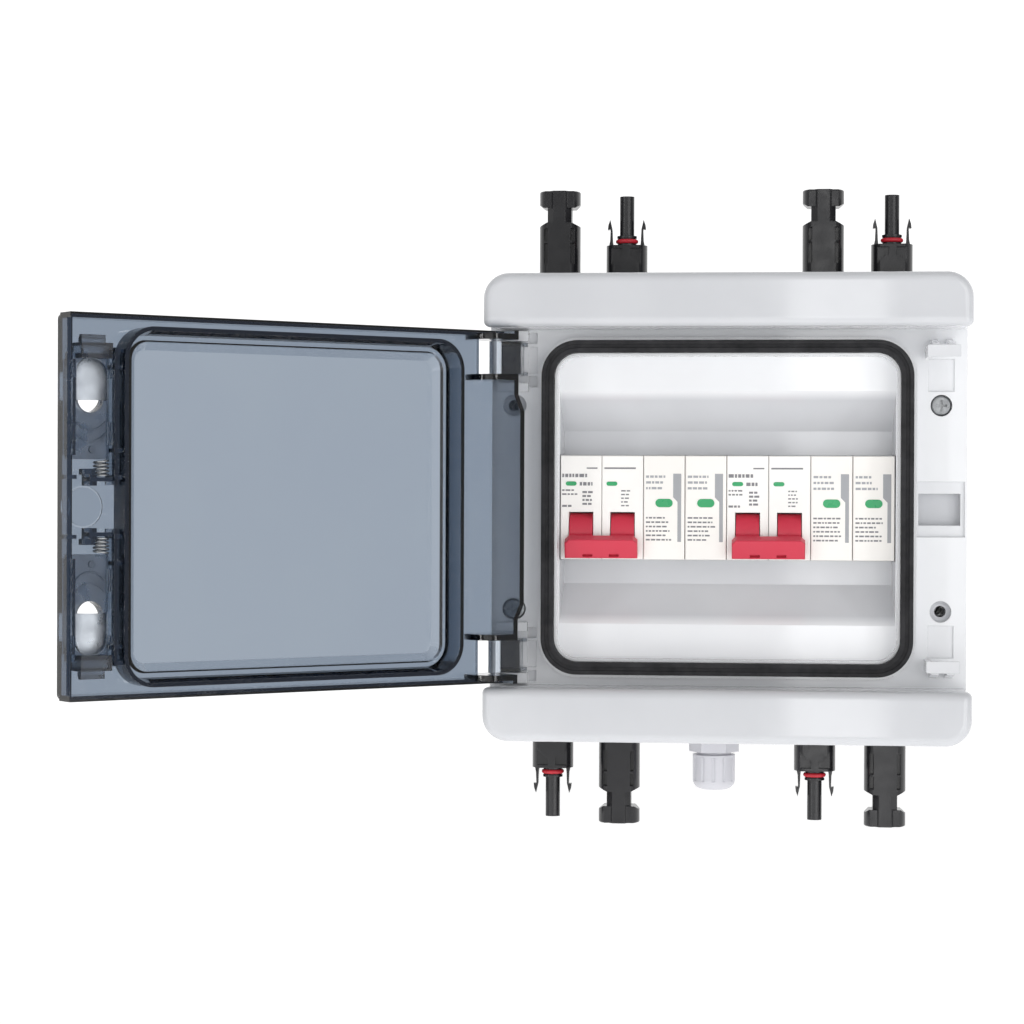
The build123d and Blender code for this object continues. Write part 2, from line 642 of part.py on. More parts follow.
def make_latch_spring():
    height = LATCH_LOW_Z - SPRING_LOW_Z - 2 * SPRING_WIRE_R - 0.1
    path = Helix(pitch=height / SPRING_TURNS, height=height, radius=SPRING_R)
    section = Plane(origin=path @ 0, z_dir=path % 0) * Circle(SPRING_WIRE_R)
    spring = sweep(section, path=path, is_frenet=True)
    return Pos(SPRING_X, -93.4, SPRING_LOW_Z + SPRING_WIRE_R + 0.05) * spring


# ---------------------------------------------------------------- rail-mounted modules

def module_body(x, width):
    """The part of a module behind the cover, with the rail recess and the terminal openings."""
    half = MODULE_H / 2
    body = block(x - width / 2, x + width / 2, MODULE_BACK, MODULE_SHOULDER, -half, half)
    body -= block(x - width, x + width, MODULE_BACK - 1, RAIL_FRONT, -18.3, 18.3)
    body += block(x - width / 2, x + width / 2, RAIL_FRONT - 4.2, RAIL_FRONT - 1.2, 14.6, 18.8)
    return body


def pole_cuts(x):
    """Screw wells, wire mouths and the clip channel of one pole."""
    cuts = both_ends(rod_in(x, TERMINAL_Z, 40, MODULE_SHOULDER + 1, 3.0))
    cuts += both_ends(block(x - 4.2, x + 4.2, 26, 38.5, 33, MODULE_H / 2 + 1))
    cuts += block(x - 4.2, x + 4.2, MODULE_BACK - 1, 12.8, -MODULE_H / 2 - 1, -18)
    return cuts


def rail_clip(x):
    """The spring clip that holds a module on the rail's lower edge."""
    clip = block(x - 4, x + 4, 9.4, 12.6, -44, -14.6)
    clip -= block(x - 2, x + 2, 8, 14, -42.6, -41.2)
    return clip


def terminal_screw(x, z):
    screw = rod_in(x, z, 40.5, 44, 2.7)
    screw -= block(x - 3, x + 3, 43, 45, z - 0.4, z + 0.4)
    screw -= block(x - 0.4, x + 0.4, 43, 45, z - 3, z + 3)
    return screw


def breaker_pole(x):
    pole = module_body(x, MODULE_W)
    nose = block(x - MODULE_W / 2, x + MODULE_W / 2, MODULE_SHOULDER - 1, NOSE_DEPTH, -NOSE_H / 2, NOSE_H / 2)
    face_edges = nose.faces().sort_by(Axis.Y)[0].edges()
    pole += fillet(face_edges, 0.5)
    pole -= pole_cuts(x)
    half = HUB_W / 2 + 0.3
    slot = HUB_R + HUB_GAP
    pole -= rod_across(x - half, x + half, PIVOT_DEPTH, PIVOT_Z, slot)
    pole -= block(x - half, x + half, PIVOT_DEPTH, NOSE_DEPTH + 1, PIVOT_Z - slot, PIVOT_Z + slot)
    return pole


def breaker_toggle(x_left, x_right):
    """Two hubs joined by the tie bar, at the OFF end of their travel."""
    toggle = rod_across(x_left - HUB_W / 2, x_left + HUB_W / 2, PIVOT_DEPTH, PIVOT_Z, HUB_R)
    toggle += rod_across(x_right - HUB_W / 2, x_right + HUB_W / 2, PIVOT_DEPTH, PIVOT_Z, HUB_R)
    middle = (x_left + x_right) / 2
    level = block(
        middle - TIE_BAR_W / 2, middle + TIE_BAR_W / 2,
        PIVOT_DEPTH + TIE_BAR_IN, PIVOT_DEPTH + TIE_BAR_OUT, PIVOT_Z - TIE_BAR_H / 2, PIVOT_Z + TIE_BAR_H / 2,
    )
    corners = [e for e in level.edges().filter_by(Axis.Y) if e.center().Z > PIVOT_Z]
    level = chamfer(corners, 1.8)
    front = level.faces().sort_by(Axis.Y)[0].edges()
    level = fillet(front, 0.7)
    for x in (x_left + 3.2, x_right - 3.4):
        low = PIVOT_Z - TIE_BAR_H / 2
        level -= block(x - 2.1, x + 2.1, PIVOT_DEPTH + TIE_BAR_OUT - 1.5, PIVOT_DEPTH + 20, low + 0.9, low + 2.3)
    for x in (x_left, x_right):
        level += block(
            x - HUB_W / 2, x + HUB_W / 2, PIVOT_DEPTH + 4, PIVOT_DEPTH + TIE_BAR_IN + 0.5,
            PIVOT_Z - 2.6, PIVOT_Z + 3.4,
        )
    pivot = Axis((0, -PIVOT_DEPTH, PIVOT_Z), (1, 0, 0))
    return toggle + level.rotate(pivot, TOGGLE_TILT)


def pill(x, z, width, height):
    """A round-ended status window, a hair proud of the face."""
    outline = SlotOverall(width, height)
    return extrude(Plane.XZ.offset(NOSE_DEPTH - 0.8) * Pos(x, z) * outline, 0.95)


def make_breaker(name, x):
    poles_x = (x + MODULE_PITCH / 2, x + MODULE_PITCH * 3 / 2)
    windows = [pill(poles_x[0] - 4.3, 10.3, 4.7, 1.8), pill(poles_x[1] - 4.6, 10.3, 4.7, 1.8)]
    housings = [breaker_pole(px) - window for px, window in zip(poles_x, windows)]
    keep(name + "_poles", *housings)
    keep(name + "_toggle", breaker_toggle(*poles_x))
    keep(name + "_windows", *windows)
    keep(name + "_terminals", *[terminal_screw(px, s * TERMINAL_Z) for px in poles_x for s in (1, -1)])
    keep(name + "_rail_clips", *[rail_clip(px) for px in poles_x])


def arrester_base(x):
    """The fixed base of a two-pole surge arrester, with a bay for its cartridges."""
    middle = x + MODULE_PITCH
    width = 2 * MODULE_PITCH - 0.2
    base = module_body(middle, width)
    for px in (x + MODULE_PITCH / 2, x + MODULE_PITCH * 3 / 2):
        base -= pole_cuts(px)
    base -= block(middle - width, middle + width, CARTRIDGE_BACK, MODULE_SHOULDER + 1, -22.7, 22.7)
    return base


def arrester_cartridge(x):
    body = block(x - 8.85, x + 8.85, CARTRIDGE_BACK + 0.2, NOSE_DEPTH, -NOSE_H / 2, NOSE_H / 2)
    face_edges = body.faces().sort_by(Axis.Y)[0].edges()
    body = fillet(face_edges, 0.5)
    return body - pill(x, 2.0, 7.4, 3.6)


def make_arrester(name, x):
    poles_x = (x + MODULE_PITCH / 2, x + MODULE_PITCH * 3 / 2)
    keep(name + "_base", arrester_base(x))
    keep(name + "_cartridges", *[arrester_cartridge(px) for px in poles_x])
    keep(name + "_windows", *[pill(px, 2.0, 7.4, 3.6) for px in poles_x])
    keep(name + "_terminals", *[terminal_screw(px, s * TERMINAL_Z) for px in poles_x for s in (1, -1)])
    keep(name + "_rail_clips", *[rail_clip(px) for px in poles_x])


# ---------------------------------------------------------------- solar connectors

def entry_base(x, top):
    """The shared body of a panel-mounted connector: outside block, thread and wire tail."""
    wall_z = BOX_H / 2
    body = rod_up(x, ENTRY_DEPTH, wall_z + 1.2, top, ENTRY_BODY_R)
    body &= block(x - 10, x + 10, ENTRY_DEPTH - ENTRY_FACE, ENTRY_DEPTH + ENTRY_FACE, wall_z, top)
    body += rod_up(x, ENTRY_DEPTH, wall_z + 1.2, wall_z + 2.6, ENTRY_BODY_R)
    body += rod_up(x, ENTRY_DEPTH, wall_z - WALL - NUT_T - 2, wall_z + 2, THREAD_R)
    body += rod_up(x, ENTRY_DEPTH, TAIL_END, wall_z - WALL - NUT_T - 1, 3.9)
    return body


def front_prism(x, points, deep):
    """An outline of (x, z) points beside a connector's axis, extruded through it."""
    face = make_face(Polyline(*[(x + dx, z) for dx, z in points], close=True))
    return extrude(Plane.XZ.offset(ENTRY_DEPTH - deep / 2) * face, deep)


def receptacle_column(x):
    """The faceted column up the middle of a receptacle, waisted near its foot."""
    outline = [(-5.4, -4.2), (-2.7, -7.4), (2.7, -7.4), (5.4, -4.2)]
    outline += [(-dx, -dy) for dx, dy in outline]
    flat = make_face(Polyline(*[(x + dx, dy - ENTRY_DEPTH) for dx, dy in outline], close=True))
    column = extrude(Plane.XY.offset(104) * flat, RECEPTACLE_TOP - 104)
    half = [(3.5, 105), (1.6, 107.3), (1.6, 110.5), (5.4, 113), (5.4, RECEPTACLE_TOP)]
    return column & front_prism(x, half + [(-dx, z) for dx, z in reversed(half)], 30)


def receptacle(x):
    """The T-headed half: a tube with windows at its sides for the mating clips."""
    body_top = 127.4
    head_low = 134.0
    body = entry_base(x, body_top)
    sloped = [(-10, 70), (10, 70), (10, 125.4), (5.4, body_top), (-5.4, body_top), (-10, 125.4)]
    body &= front_prism(x, sloped, 30)
    body += rod_up(x, ENTRY_DEPTH, body_top - 1, RECEPTACLE_TOP, 5.4)
    head = rod_up(x, ENTRY_DEPTH, head_low, RECEPTACLE_TOP, ENTRY_BODY_R)
    head &= block(x - 10, x + 10, ENTRY_DEPTH - 6.4, ENTRY_DEPTH + 6.4, head_low, RECEPTACLE_TOP)
    head = fillet(head.faces().sort_by(Axis.Z)[-1].edges(), 0.7)
    shape = [(-7, head_low), (7, head_low), (9.4, 135.8), (9.4, 150), (-9.4, 150), (-9.4, 135.8)]
    body += head & front_prism(x, shape, 30)
    body += receptacle_column(x)
    for side in (-1, 1):
        middle = x + side * 5.9
        for depth in (ENTRY_DEPTH - ENTRY_FACE, ENTRY_DEPTH + ENTRY_FACE):
            for low, high in ((109.0, 118.2), (119.2, 124.8)):
                body -= block(middle - 0.8, middle + 0.8, depth - 3, depth + 3, low, high)
    body -= rod_up(x, ENTRY_DEPTH, 116, RECEPTACLE_TOP + 1, PLUG_TUBE_R + 0.15)
    body -= rod_up(x, ENTRY_DEPTH, 96, 117, CONTACT_PIN_R + 0.05)
    return body


def barb(x, side):
    """One springy clip with an outward barb."""
    root = x + side * 6.6
    arm = [(root - side * 0.6, 116.5), (root + side * 1.5, 116.5), (root + side * 0.9, 119.5)]
    arm += [(x + side * 7.3, 124.6), (x + side * 8.55, 124.5), (x + side * 8.3, 126.6)]
    arm += [(x + side * 7.5, 128.9), (x + side * 6.5, 124.6), (root - side * 0.3, 119.5)]
    plane = Plane.XZ.offset(ENTRY_DEPTH - 2)
    return extrude(plane * make_face(Polyline(*arm, close=True)), 4.0)


def plug(x):
    """The clip-sided half: a long tube, a seal seat and two barbed clips."""
    body = entry_base(x, PLUG_BODY_TOP)
    body += rod_up(x, ENTRY_DEPTH, PLUG_BODY_TOP - 1, 121.2, 4.2)
    body -= ring_seal(x)
    body += rod_up(x, ENTRY_DEPTH, 120.6, 121.6, 4.45)
    body += rod_up(x, ENTRY_DEPTH, 120, PLUG_TOP, PLUG_TUBE_R)
    body += barb(x, -1) + barb(x, 1)
    for depth in (ENTRY_DEPTH + ENTRY_FACE, ENTRY_DEPTH - ENTRY_FACE):
        for side in (-1, 1):
            corner = [(1.7, 115.8), (6.6, 115.8), (6.6, 108.6), (3.0, 112.4), (1.7, 112.4)]
            recess = make_face(Polyline(*[(x + side * dx, z) for dx, z in corner], close=True))
            body -= extrude(Plane.XZ.offset(depth - 1.1) * recess, 2.2)
    body -= rod_up(x, ENTRY_DEPTH, 96, PLUG_TOP + 1, CONTACT_SOCKET_R + 0.05)
    return body


def ring_seal(x):
    """The red sealing ring round the plug."""
    return Pos(x, -ENTRY_DEPTH, 119.2) * Torus(4.05, 1.0)


def hex_nut(x, thread_r, across, z_from, z_to):
    plane = Plane(origin=(x, -ENTRY_DEPTH, z_from), x_dir=(1, 0, 0), z_dir=(0, 0, 1))
    outline = RegularPolygon(radius=across / 2, side_count=6, major_radius=False)
    nut = extrude(plane * outline, z_to - z_from)
    return nut - rod_up(x, ENTRY_DEPTH, z_from - 1, z_to + 1, thread_r + 0.05)


def panel_washer(x):
    """The flat rubber washer under a connector's collar."""
    low = BOX_H / 2
    washer = rod_up(x, ENTRY_DEPTH, low, low + 1.2, ENTRY_BODY_R - 0.4)
    return washer - rod_up(x, ENTRY_DEPTH, low - 1, low + 3, THREAD_R + 0.05)


def contact_pin(x):
    pin = rod_up(x, ENTRY_DEPTH, 96, 130, CONTACT_PIN_R)
    return fillet(pin.faces().sort_by(Axis.Z)[-1].edges(), 1.2)


def contact_socket(x):
    tube = rod_up(x, ENTRY_DEPTH, 96, 137, CONTACT_SOCKET_R)
    return tube - rod_up(x, ENTRY_DEPTH, 118, 138, CONTACT_BORE_R)


def make_connectors():
    nuts, washers, seals, pins, sockets = [], [], [], [], []
    rows = (
        ("top", TOP_RECEPTACLES, TOP_PLUGS, stay),
        ("bottom", BOTTOM_RECEPTACLES, BOTTOM_PLUGS, flip),
    )
    inner = BOX_H / 2 - WALL
    for level, receptacles_x, plugs_x, place in rows:
        for side, x in zip(("left", "right"), receptacles_x):
            keep("pv_receptacle_" + level + "_" + side, place(receptacle(x)))
            pins.append(place(contact_pin(x)))
        for side, x in zip(("left", "right"), plugs_x):
            keep("pv_plug_" + level + "_" + side, place(plug(x)))
            sockets.append(place(contact_socket(x)))
            seals.append(place(ring_seal(x)))
        for x in receptacles_x + plugs_x:
            nuts.append(place(hex_nut(x, THREAD_R, 16, inner - NUT_T, inner)))
            washers.append(place(panel_washer(x)))
    keep("pv_lock_nuts", *nuts)
    keep("pv_panel_washers", *washers)
    keep("pv_plug_seals", *seals)
    keep("pv_contact_pins", *pins)
    keep("pv_contact_sockets", *sockets)


# ---------------------------------------------------------------- cable gland

def make_gland():
    x = GLAND_X
    wall_z = -BOX_H / 2
    body = hex_nut(x, GLAND_BODY_BORE_R, 19.3, wall_z - 9.4, wall_z)
    body += rod_up(x, ENTRY_DEPTH, wall_z - 15, wall_z + WALL + 8, GLAND_THREAD_R)
    body -= rod_up(x, ENTRY_DEPTH, wall_z - 16, wall_z + WALL + 9, GLAND_BODY_BORE_R)
    body -= rod_up(x, ENTRY_DEPTH, wall_z - 16, wall_z - 6, 6.1)
    keep("gland_body", body)

    seal = rod_up(x, ENTRY_DEPTH, wall_z - 20, wall_z - 6, 6.0)
    seal -= rod_up(x, ENTRY_DEPTH, wall_z - 21, wall_z - 5, GLAND_BORE_R)
    keep("gland_seal", seal)

    low = wall_z - 26.2
    high = wall_z - 10.6
    dome = rod_up(x, ENTRY_DEPTH, low, high, 9.5)
    dome = fillet(dome.faces().sort_by(Axis.Z)[0].edges(), 4.5)
    for i in range(12):
        angle = radians(30 * i)
        dx = 9.9 * cos(angle)
        dy = 9.9 * sin(angle)
        flute = rod((x + dx, -ENTRY_DEPTH + dy, low + 4), (x + dx, -ENTRY_DEPTH + dy, high - 1), 0.8)
        dome -= flute
    dome -= rod_up(x, ENTRY_DEPTH, low + 5, high + 1, GLAND_THREAD_R + 0.05)
    dome -= rod_up(x, ENTRY_DEPTH, low - 1, low + 6, 4.6)
    keep("gland_dome_nut", dome)

    inner = wall_z + WALL
    keep("gland_lock_nut", hex_nut(x, GLAND_THREAD_R, 19, inner, inner + NUT_T))


# ---------------------------------------------------------------- wires

def wire(points, radius, bend):
    """An insulated wire along straight runs joined by tangent arcs."""
    path = FilletPolyline(*points, radius=bend)
    section = Plane(origin=path @ 0, z_dir=path % 0) * Circle(radius)
    return sweep(section, path=path)


def main_wire(x_entry, x_pole, place):
    """From a connector's tail to the breaker terminal below it."""
    points = [
        (x_entry, -ENTRY_DEPTH, TAIL_END), (x_entry, -ENTRY_DEPTH, 73),
        (x_pole, -WIRE_DEPTH - 3, 54), (x_pole, -WIRE_DEPTH - 3, 37),
    ]
    return place(wire(points, MAIN_WIRE_R, 8))


def link_wires(x):
    """The two links from a breaker's upper terminals to the arrester beside it."""
    near = WIRE_DEPTH - 3
    first = x + MODULE_PITCH / 2
    second = x + MODULE_PITCH * 3 / 2
    span = 2 * MODULE_PITCH
    over = [
        (first, -near, 37), (first, -near, 52), (first + 7, -near + 5, 60),
        (first + span - 7, -near + 5, 60), (first + span, -near, 52), (first + span, -near, 37),
    ]
    under = [
        (second, -near, 37), (second, -near, 46), (second + 8, -near + 9, 52),
        (second + span - 8, -near + 9, 52), (second + span, -near, 46), (second + span, -near, 37),
    ]
    return wire(over, LINK_WIRE_R, 5), wire(under, LINK_WIRE_R, 5)


def earth_wires():
    near = WIRE_DEPTH - 3
    bar = (EARTH_BACK + EARTH_FRONT) / 2
    left = [(-18 + 9, -near, -37), (-9, -near, -46), (-18, -bar, -53), (-18, -bar, -63)]
    right = [(63, -near, -37), (63, -near, -46), (40, -22, -51), (18, -bar, -51), (18, -bar, -63)]
    return [wire(left, LINK_WIRE_R, 4.5), wire(right, LINK_WIRE_R, 5)]


def make_wires():
    first_x = (BREAKER_LEFT_X + MODULE_PITCH / 2, BREAKER_RIGHT_X + MODULE_PITCH / 2)
    second_x = (BREAKER_LEFT_X + MODULE_PITCH * 3 / 2, BREAKER_RIGHT_X + MODULE_PITCH * 3 / 2)
    red = [main_wire(x, pole, stay) for x, pole in zip(TOP_RECEPTACLES, first_x)]
    black = [main_wire(x, pole, stay) for x, pole in zip(TOP_PLUGS, second_x)]
    red += [main_wire(x, pole, flip) for x, pole in zip(BOTTOM_PLUGS, first_x)]
    black += [main_wire(x, pole, flip) for x, pole in zip(BOTTOM_RECEPTACLES, second_x)]
    for x in (BREAKER_LEFT_X, BREAKER_RIGHT_X):
        positive, negative = link_wires(x)
        red.append(positive)
        black.append(negative)
    keep("wires_red", *red)
    keep("wires_black", *black)
    keep("wires_earth", *earth_wires())


# ---------------------------------------------------------------- the whole box

keep("rear_shell", make_rear_shell())
keep("front_cover", make_front_cover())
keep("shell_seal", seal_ring())
keep("window_gasket", make_window_gasket())
keep("cover_screws", *make_cover_screws())
keep("din_rail", make_din_rail())
keep("rail_screws", *make_rail_screws())
keep("earth_bar", make_earth_bar())
keep("earth_bar_screws", *make_earth_screws())

keep("hinge_clip_upper", make_hinge_clip())
keep("hinge_clip_lower", flip(make_hinge_clip()))
keep("door_panel", swing(make_door()))
keep("latch_upper", swing(make_latch()))
keep("latch_lower", swing(flip(make_latch())))
keep("latch_upper_spring", swing(make_latch_spring()))
keep("latch_lower_spring", swing(flip(make_latch_spring())))

make_breaker("breaker_left", BREAKER_LEFT_X)
make_arrester("arrester_left", ARRESTER_LEFT_X)
make_breaker("breaker_right", BREAKER_RIGHT_X)
make_arrester("arrester_right", ARRESTER_RIGHT_X)

make_connectors()
make_gland()
make_wires()

os.makedirs("parts", exist_ok=True)
for node, shape in parts.items():
    export_step(shape, "parts/" + node + ".step")
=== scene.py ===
import json
import math
import random
from collections import namedtuple

import bmesh
import bpy
from mathutils import Matrix, Vector


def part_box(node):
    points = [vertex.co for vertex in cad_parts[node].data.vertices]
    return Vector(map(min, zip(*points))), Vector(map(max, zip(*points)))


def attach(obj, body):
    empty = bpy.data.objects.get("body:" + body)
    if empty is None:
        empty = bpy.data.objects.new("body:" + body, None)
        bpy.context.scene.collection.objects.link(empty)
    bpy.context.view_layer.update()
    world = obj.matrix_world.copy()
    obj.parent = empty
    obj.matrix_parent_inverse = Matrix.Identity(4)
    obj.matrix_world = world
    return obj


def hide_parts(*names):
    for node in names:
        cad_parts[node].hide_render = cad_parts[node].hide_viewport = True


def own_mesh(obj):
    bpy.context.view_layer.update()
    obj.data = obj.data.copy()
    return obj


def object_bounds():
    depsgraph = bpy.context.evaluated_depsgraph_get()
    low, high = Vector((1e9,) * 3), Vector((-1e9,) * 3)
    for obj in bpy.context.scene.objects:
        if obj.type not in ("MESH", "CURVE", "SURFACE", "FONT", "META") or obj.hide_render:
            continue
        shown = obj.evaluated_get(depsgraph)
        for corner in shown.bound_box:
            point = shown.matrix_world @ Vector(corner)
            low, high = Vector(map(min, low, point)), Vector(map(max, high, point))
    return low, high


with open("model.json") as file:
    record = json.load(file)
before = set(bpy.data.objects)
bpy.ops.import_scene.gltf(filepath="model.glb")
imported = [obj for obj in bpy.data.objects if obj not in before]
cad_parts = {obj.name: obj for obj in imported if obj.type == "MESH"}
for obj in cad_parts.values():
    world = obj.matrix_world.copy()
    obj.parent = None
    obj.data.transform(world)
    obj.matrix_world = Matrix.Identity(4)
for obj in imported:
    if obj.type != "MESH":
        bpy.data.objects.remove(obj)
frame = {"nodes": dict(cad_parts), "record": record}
CAD_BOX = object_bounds()

MM = 0.001


# ---------------------------------------------------------------- kinds of material

class Look:
    """A material under construction: a Principled shader and the textures that feed it."""

    def __init__(self, name, color, roughness, **inputs):
        self.material = bpy.data.materials.new(name)
        self.material.use_nodes = True
        self.nodes = self.material.node_tree.nodes
        self.links = self.material.node_tree.links
        self.nodes.clear()
        self.shader = self.nodes.new("ShaderNodeBsdfPrincipled")
        self.output = self.nodes.new("ShaderNodeOutputMaterial")
        self.links.new(self.shader.outputs["BSDF"], self.output.inputs["Surface"])
        self.shader.inputs["Base Color"].default_value = (*color, 1.0)
        self.shader.inputs["Roughness"].default_value = roughness
        for key, value in inputs.items():
            self.shader.inputs[key.replace("_", " ")].default_value = value
        self.place = self.nodes.new("ShaderNodeTexCoord").outputs["Object"]

    def stretched(self, scale):
        """Object coordinates in metres, scaled by (x, y, z)."""
        mapping = self.nodes.new("ShaderNodeMapping")
        mapping.inputs["Scale"].default_value = scale
        self.links.new(self.place, mapping.inputs["Vector"])
        return mapping.outputs["Vector"]

    def noise(self, feature_mm, detail=3.0, place=None):
        """A noise whose blobs are about feature_mm across."""
        node = self.nodes.new("ShaderNodeTexNoise")
        node.inputs["Scale"].default_value = 1 / (feature_mm * MM)
        node.inputs["Detail"].default_value = detail
        self.links.new(place or self.place, node.inputs["Vector"])
        return node.outputs["Fac"]

    def ramp(self, value, low, high, first=0.35, last=0.65):
        """Maps a noise from its usual range onto low to high."""
        node = self.nodes.new("ShaderNodeMapRange")
        node.inputs["From Min"].default_value = first
        node.inputs["From Max"].default_value = last
        node.inputs["To Min"].default_value = low
        node.inputs["To Max"].default_value = high
        self.links.new(value, node.inputs["Value"])
        return node.outputs["Result"]

    def add(self, first, second, clamp=False):
        node = self.nodes.new("ShaderNodeMath")
        node.operation = "ADD"
        node.use_clamp = clamp
        self.links.new(first, node.inputs[0])
        self.links.new(second, node.inputs[1])
        return node.outputs["Value"]

    def depth(self):
        """The object's y in metres, which is negative towards the front."""
        split = self.nodes.new("ShaderNodeSeparateXYZ")
        self.links.new(self.place, split.inputs["Vector"])
        return split.outputs["Y"]

    def vary_color(self, first, second, fac):
        """Drifts the base colour between two near colours."""
        mix = self.nodes.new("ShaderNodeMix")
        mix.data_type = "RGBA"
        mix.inputs["A"].default_value = (*first, 1.0)
        mix.inputs["B"].default_value = (*second, 1.0)
        self.links.new(fac, mix.inputs["Factor"])
        self.links.new(mix.outputs["Result"], self.shader.inputs["Base Color"])

    def vary_roughness(self, fac):
        self.links.new(fac, self.shader.inputs["Roughness"])

    def bump(self, height, depth_mm, edge_mm=0.0):
        """Bump of a height from 0 to 1, over softly rounded edges."""
        node = self.nodes.new("ShaderNodeBump")
        node.inputs["Strength"].default_value = 1.0
        node.inputs["Distance"].default_value = depth_mm * MM
        self.links.new(height, node.inputs["Height"])
        if edge_mm:
            bevel = self.nodes.new("ShaderNodeBevel")
            bevel.samples = 4
            bevel.inputs["Radius"].default_value = edge_mm * MM
            self.links.new(bevel.outputs["Normal"], node.inputs["Normal"])
        self.links.new(node.outputs["Normal"], self.shader.inputs["Normal"])


def shade(color, factor):
    return tuple(channel * factor for channel in color)


MOULDED_DRIFT = 0.03


def moulded(name, color, roughness, grain_mm, grain_depth, edge_mm, **inputs):
    """Injection-moulded plastic: faint colour drift, uneven gloss, fine surface grain and soft edges."""
    look = Look(name, color, roughness, **inputs)
    darker = shade(color, 1 - MOULDED_DRIFT)
    paler = shade(color, 1 + MOULDED_DRIFT)
    look.vary_color(darker, paler, look.ramp(look.noise(38), 0, 1))
    look.vary_roughness(look.ramp(look.noise(6, 4), roughness * 0.85, roughness * 1.2))
    look.bump(look.noise(grain_mm, 2), grain_depth, edge_mm)
    return look.material


# The shell's colour goes by depth: dark on the shoulders' faces, paler on the flange as painted light, and
# dark again in the well where that painted light ends.
# The pairs are the y, in mm, where a change of tone begins and ends.
SHOULDER_TONE = (0.575, 0.585, 0.61)
# The flange's colour is painted light, paler than the shell's own colour on the shoulders
FLANGE_PAINTED_LIGHT = (0.83, 0.84, 0.86)
FACE_TO_FLANGE = (-98.0, -86.0)
FLANGE_TO_WELL = (-74.5, -71.5)


def shell_plastic():
    """Glossy light grey ABS, paler on the flange to stand in for the photograph's flat frontal light."""
    look = Look("shell_gloss", (0.62, 0.63, 0.655), 0.06)
    # Painted light: the shell turns paler from the shoulders' faces onto the flange, then back to the
    # shoulders' colour in the well
    paler = look.ramp(look.depth(), 0.05, 0.95, *(y * MM for y in FACE_TO_FLANGE))
    darker = look.ramp(look.depth(), 0.0, -0.92, *(y * MM for y in FLANGE_TO_WELL))
    mottle = look.ramp(look.noise(38), -0.05, 0.05)
    look.vary_color(SHOULDER_TONE, FLANGE_PAINTED_LIGHT, look.add(look.add(paler, darker), mottle, clamp=True))
    look.vary_roughness(look.ramp(look.noise(6, 4), 0.045, 0.08))
    look.bump(look.noise(0.9, 2), 0.001, 0.5)
    return look.material


SMOKE_TINT = (0.148, 0.254, 0.376, 1.0)


def smoked(name, density, roughness=0.03):
    """Transparent smoked polycarbonate, darker where it is thicker."""
    look = Look(name, (0.97, 0.98, 1.0), roughness, Transmission_Weight=1.0, IOR=1.58)
    look.vary_color((0.96, 0.97, 0.99), (0.98, 0.99, 1.0), look.ramp(look.noise(40), 0, 1))
    look.vary_roughness(look.ramp(look.noise(9, 3), roughness * 0.5, roughness * 2))
    look.bump(look.noise(14, 2), 0.02, 0.25)
    absorb = look.nodes.new("ShaderNodeVolumeAbsorption")
    absorb.inputs["Color"].default_value = SMOKE_TINT
    absorb.inputs["Density"].default_value = density
    look.links.new(absorb.outputs["Volume"], look.output.inputs["Volume"])
    return look.material


def rubber(name, color, roughness, grain_mm=0.5, grain_depth=0.05, **inputs):
    """Rubber or silicone: dusty colour and a coarser grain."""
    look = Look(name, color, roughness, **inputs)
    look.vary_color(shade(color, 0.8), shade(color, 1.3), look.ramp(look.noise(9, 4), 0, 1))
    look.vary_roughness(look.ramp(look.noise(3, 3), roughness * 0.85, min(1.0, roughness * 1.15)))
    look.bump(look.noise(grain_mm, 3), grain_depth, 0.3)
    return look.material


def metal(name, color, roughness, scratch):
    """Drawn or plated metal, with fine streaks that run along the axis scaled least."""
    look = Look(name, color, roughness, Metallic=1.0)
    look.vary_color(shade(color, 0.85), shade(color, 1.1), look.ramp(look.noise(4, 4), 0, 1))
    streaks = look.noise(0.4, 4, look.stretched(scratch))
    look.vary_roughness(look.ramp(streaks, roughness * 0.7, roughness * 1.4))
    look.bump(streaks, 0.01, 0.1)
    return look.material


# ---------------------------------------------------------------- materials

# Nodes whose look isn't that of their slot: the latches and hinge blocks are thicker than the door's plate
OWN_LOOK = {
    "latch_upper": "latch",
    "latch_lower": "latch",
    "hinge_clip_upper": "hinge",
    "hinge_clip_lower": "hinge",
}


